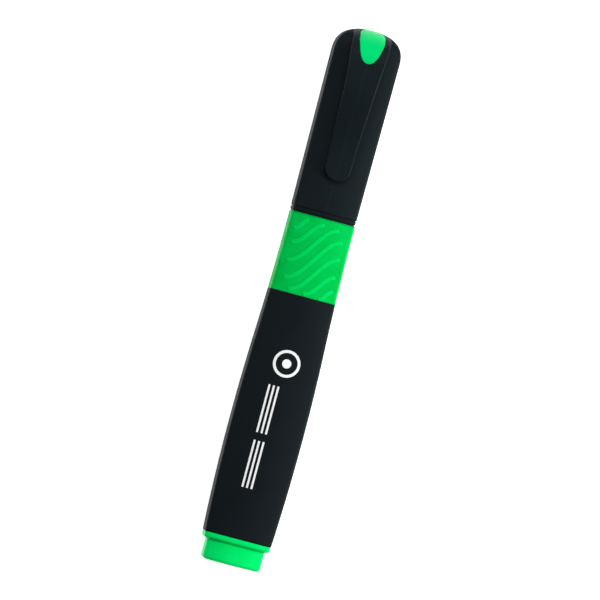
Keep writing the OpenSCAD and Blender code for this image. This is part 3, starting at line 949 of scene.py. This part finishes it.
def insert_rim(_, room):
    """A rounded edge and a straight wall, as (inset, depth) pairs."""
    proud, r, low = -0.1, min(0.18, 0.6 * room), 0.7
    pairs = [(min(r + 0.1, 0.8 * room), proud)]
    pairs += [(r - r * math.sin(t), proud + r - r * math.cos(t)) for t in quarter(0, 90, 6)]
    return pairs + [(0.0, low), (min(0.3, 0.8 * room), low)]


def pocket_rim(_, room):
    """Straight walls from above the hump down to the pocket's floor."""
    inner, above, floor = min(0.3, 0.8 * room), -1.2, 0.78
    return [(inner, above), (0.0, above), (0.0, floor), (inner, floor)]


def make_insert(clip, cap):
    """Green insert in a real pocket, cut into the hump and the cap's end with a fine gap all round."""
    cutter = slab("pocket", insert_outline(gap=0.07), pocket_rim, head_surface, across=10)
    cut(clip, cutter)
    cut(cap, cutter)
    drop(cutter)
    insert = slab("insert", insert_outline(gap=-0.02), insert_rim, head_surface, across=16)
    finish_piece(insert, "green_plastic", "colour_insert", finish="insert_plastic_painted_darker")
    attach(insert, "cap")


# ---------------------------------------------------------------- printed mark


def on_barrel(x, at, height):
    """A point at a height over the barrel's crowned front."""
    w = 2 * half_width(at)
    return (x, at, AXIS_Z + float(crown_height(x, w, BODY_D)) + height)


INK_TOP, INK_UNDER = 0.02, -0.03


def print_patch(name, rows):
    """A thin closed patch of ink over a grid of (x, place) points on the barrel's front."""
    rows = [list(r) for r in rows]
    n, count = len(rows[0]), len(rows)
    verts = [on_barrel(x, at, h) for h in (INK_TOP, INK_UNDER) for r in rows for x, at in r]
    under = n * count
    faces = []
    for i in range(count - 1):
        for j in range(n - 1):
            a = i * n + j
            quad = (a, a + 1, a + n + 1, a + n)
            faces += [quad, tuple(under + k for k in reversed(quad))]
    border = [*range(n)] + [i * n + n - 1 for i in range(1, count)]
    border += [(count - 1) * n + j for j in range(n - 2, -1, -1)] + [i * n for i in range(count - 2, 0, -1)]
    for k, a in enumerate(border):
        b = border[(k + 1) % len(border)]
        faces.append((a, b, under + b, under + a))
    return mesh_object(name, verts, faces)


def print_ring(name, x, at, inner, outer):
    """A printed ring, or a disc when inner is 0."""
    radii = np.linspace(inner, outer, 6)
    profile = [(r, INK_TOP) for r in radii] + [(r, INK_UNDER) for r in radii[::-1]]
    turns = np.linspace(0, 2 * np.pi, 72, endpoint=False)

    def point(r, h, t):
        return on_barrel(x + r * math.cos(t), at + r * math.sin(t), h)

    if inner:
        return loft(name, [[point(r, h, t) for r, h in profile] for t in turns], joined=True)
    return loft(name, [[point(r, h, t) for t in turns] for r, h in profile[1:-1]])


def print_bar(name, x0, x1, from_at, to_at):
    """A printed bar along the barrel."""
    rows = [[(lerp(x0, x1, j / 4), at) for j in range(5)] for at in np.linspace(from_at, to_at, 40)]
    return print_patch(name, rows)


def make_print():
    """A plain mark in place of a printed one: a ring with a dot, and two groups of three bars."""
    icon_at, icon_x = 52.2, 0.3
    bar_x, bar_step, bar_w = -2.75, 1.15, 0.5
    pieces = [
        print_ring("print_ring", icon_x, icon_at, 2.75, 3.45),
        print_ring("print_dot", icon_x, icon_at, 0, 1.15),
    ]
    for group, (start, end) in enumerate([(33.9, 46.2), (19.8, 31.9)]):
        for line in range(3):
            x = bar_x + bar_step * line
            pieces.append(print_bar(f"print_bar_{group}_{line}", x, x + bar_w, start, end))
    for piece in pieces:
        finish_piece(piece, "white_print")
        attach(piece, "barrel")


# ---------------------------------------------------------------- stage, lights, camera


def make_stage():
    """A plain pale floor just under the pen. Its sizes are in metres."""
    size, drop_below = 2.0, 0.00002
    mesh = bpy.data.meshes.new("floor")
    corners = [(-size, -size), (size, -size), (size, size), (-size, size)]
    mesh.from_pydata([(x, y, -drop_below) for x, y in corners], [], [(0, 1, 2, 3)])
    floor = bpy.data.objects.new("floor", mesh)
    bpy.context.scene.collection.objects.link(floor)
    s = Shader("floor", (0.9, 0.9, 0.9), 0.9, Specular_IOR_Level=0.0)
    s.bsdf.inputs["Emission Color"].default_value = (1, 1, 1, 1)
    s.bsdf.inputs["Emission Strength"].default_value = 0.72
    mesh.materials.append(s.material)


def softbox(name, place, aim, power):
    """A square area light 0.22 m wide at place, aimed at a point, both in metres. Its power is in watts."""
    light = bpy.data.lights.new(name, "AREA")
    light.shape = "RECTANGLE"
    light.size = light.size_y = 0.22
    light.energy = power
    lamp = bpy.data.objects.new(name, light)
    lamp.location = place
    lamp.rotation_euler = (Vector(aim) - Vector(place)).to_track_quat("-Z", "Y").to_euler()
    bpy.context.scene.collection.objects.link(lamp)


def make_lights():
    middle = (0, 0, AXIS_Z * MM)
    softbox("right_softbox", (0.54, 0, 0.26), middle, 3.9)
    softbox("front_softbox", (0, 0.39, 0.46), middle, 1.4)
    softbox("front_right_softbox", (0.33, 0.2, 0.46), middle, 0.55)
    softbox("front_left_softbox", (-0.33, 0.2, 0.46), middle, 1.05)
    world = bpy.data.worlds.new("studio")
    world.use_nodes = True
    world.node_tree.nodes["Background"].inputs["Color"].default_value = (0.9, 0.97, 1.0, 1)
    world.node_tree.nodes["Background"].inputs["Strength"].default_value = 0.06
    bpy.context.scene.world = world


# The camera's turn about the pen and the pen's lean in the picture, then distance and width of view in
# metres, then how far the pen's middle lies right and up of the picture's middle, in millimetres
VIEW_ROLL = math.radians(5.0)
VIEW_TILT = math.radians(14.96)
VIEW_DISTANCE = 2.0
VIEW_WIDTH = 0.1499
PEN_RIGHT, PEN_UP = 0.25, 0.52


def make_camera():
    """A camera above the pen, moved a little towards its left side, with the pen leaning to the right."""
    back = Vector((-math.sin(VIEW_ROLL), 0, math.cos(VIEW_ROLL)))
    up = Vector((0, 1, 0))
    right = up.cross(back).normalized()
    image_up = up * math.cos(VIEW_TILT) - right * math.sin(VIEW_TILT)
    image_right = image_up.cross(back).normalized()
    centre = Vector((0, (REAR + TOTAL / 2) * MM, AXIS_Z * MM))
    target = centre - image_right * PEN_RIGHT * MM - image_up * PEN_UP * MM
    data = bpy.data.cameras.new("camera")
    data.sensor_width = 36
    data.lens = 36 * VIEW_DISTANCE / VIEW_WIDTH
    data.clip_start, data.clip_end = 0.01, 10
    camera = bpy.data.objects.new("camera", data)
    turned = Matrix((image_right, image_up, back)).transposed().to_4x4()
    camera.matrix_world = Matrix.Translation(target + back * VIEW_DISTANCE) @ turned
    bpy.context.scene.collection.objects.link(camera)
    bpy.context.scene.camera = camera


# ---------------------------------------------------------------- the pen

make_camera()
make_barrel()
make_grip()
make_plug()
make_front_section()
make_nib()
cap_piece = make_cap()
clip_piece = make_clip()
make_insert(clip_piece, cap_piece)
finish_piece(clip_piece, "black_plastic", "clip_arm", finish="cap_plastic_painted_lighter")
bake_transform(clip_piece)
make_print()
for node, slot in (
    ("inner_cap", "pale_plastic"),
    ("vent_tube", "pale_plastic"),
    ("reservoir", "ink_fibre"),
    ("reservoir_film", "clear_film"),
):
    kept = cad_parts[node]
    kept.data.materials.clear()
    kept.data.materials.append(MATERIALS[slot])
make_stage()
make_lights()

bpy.context.scene.view_settings.view_transform = "Standard"
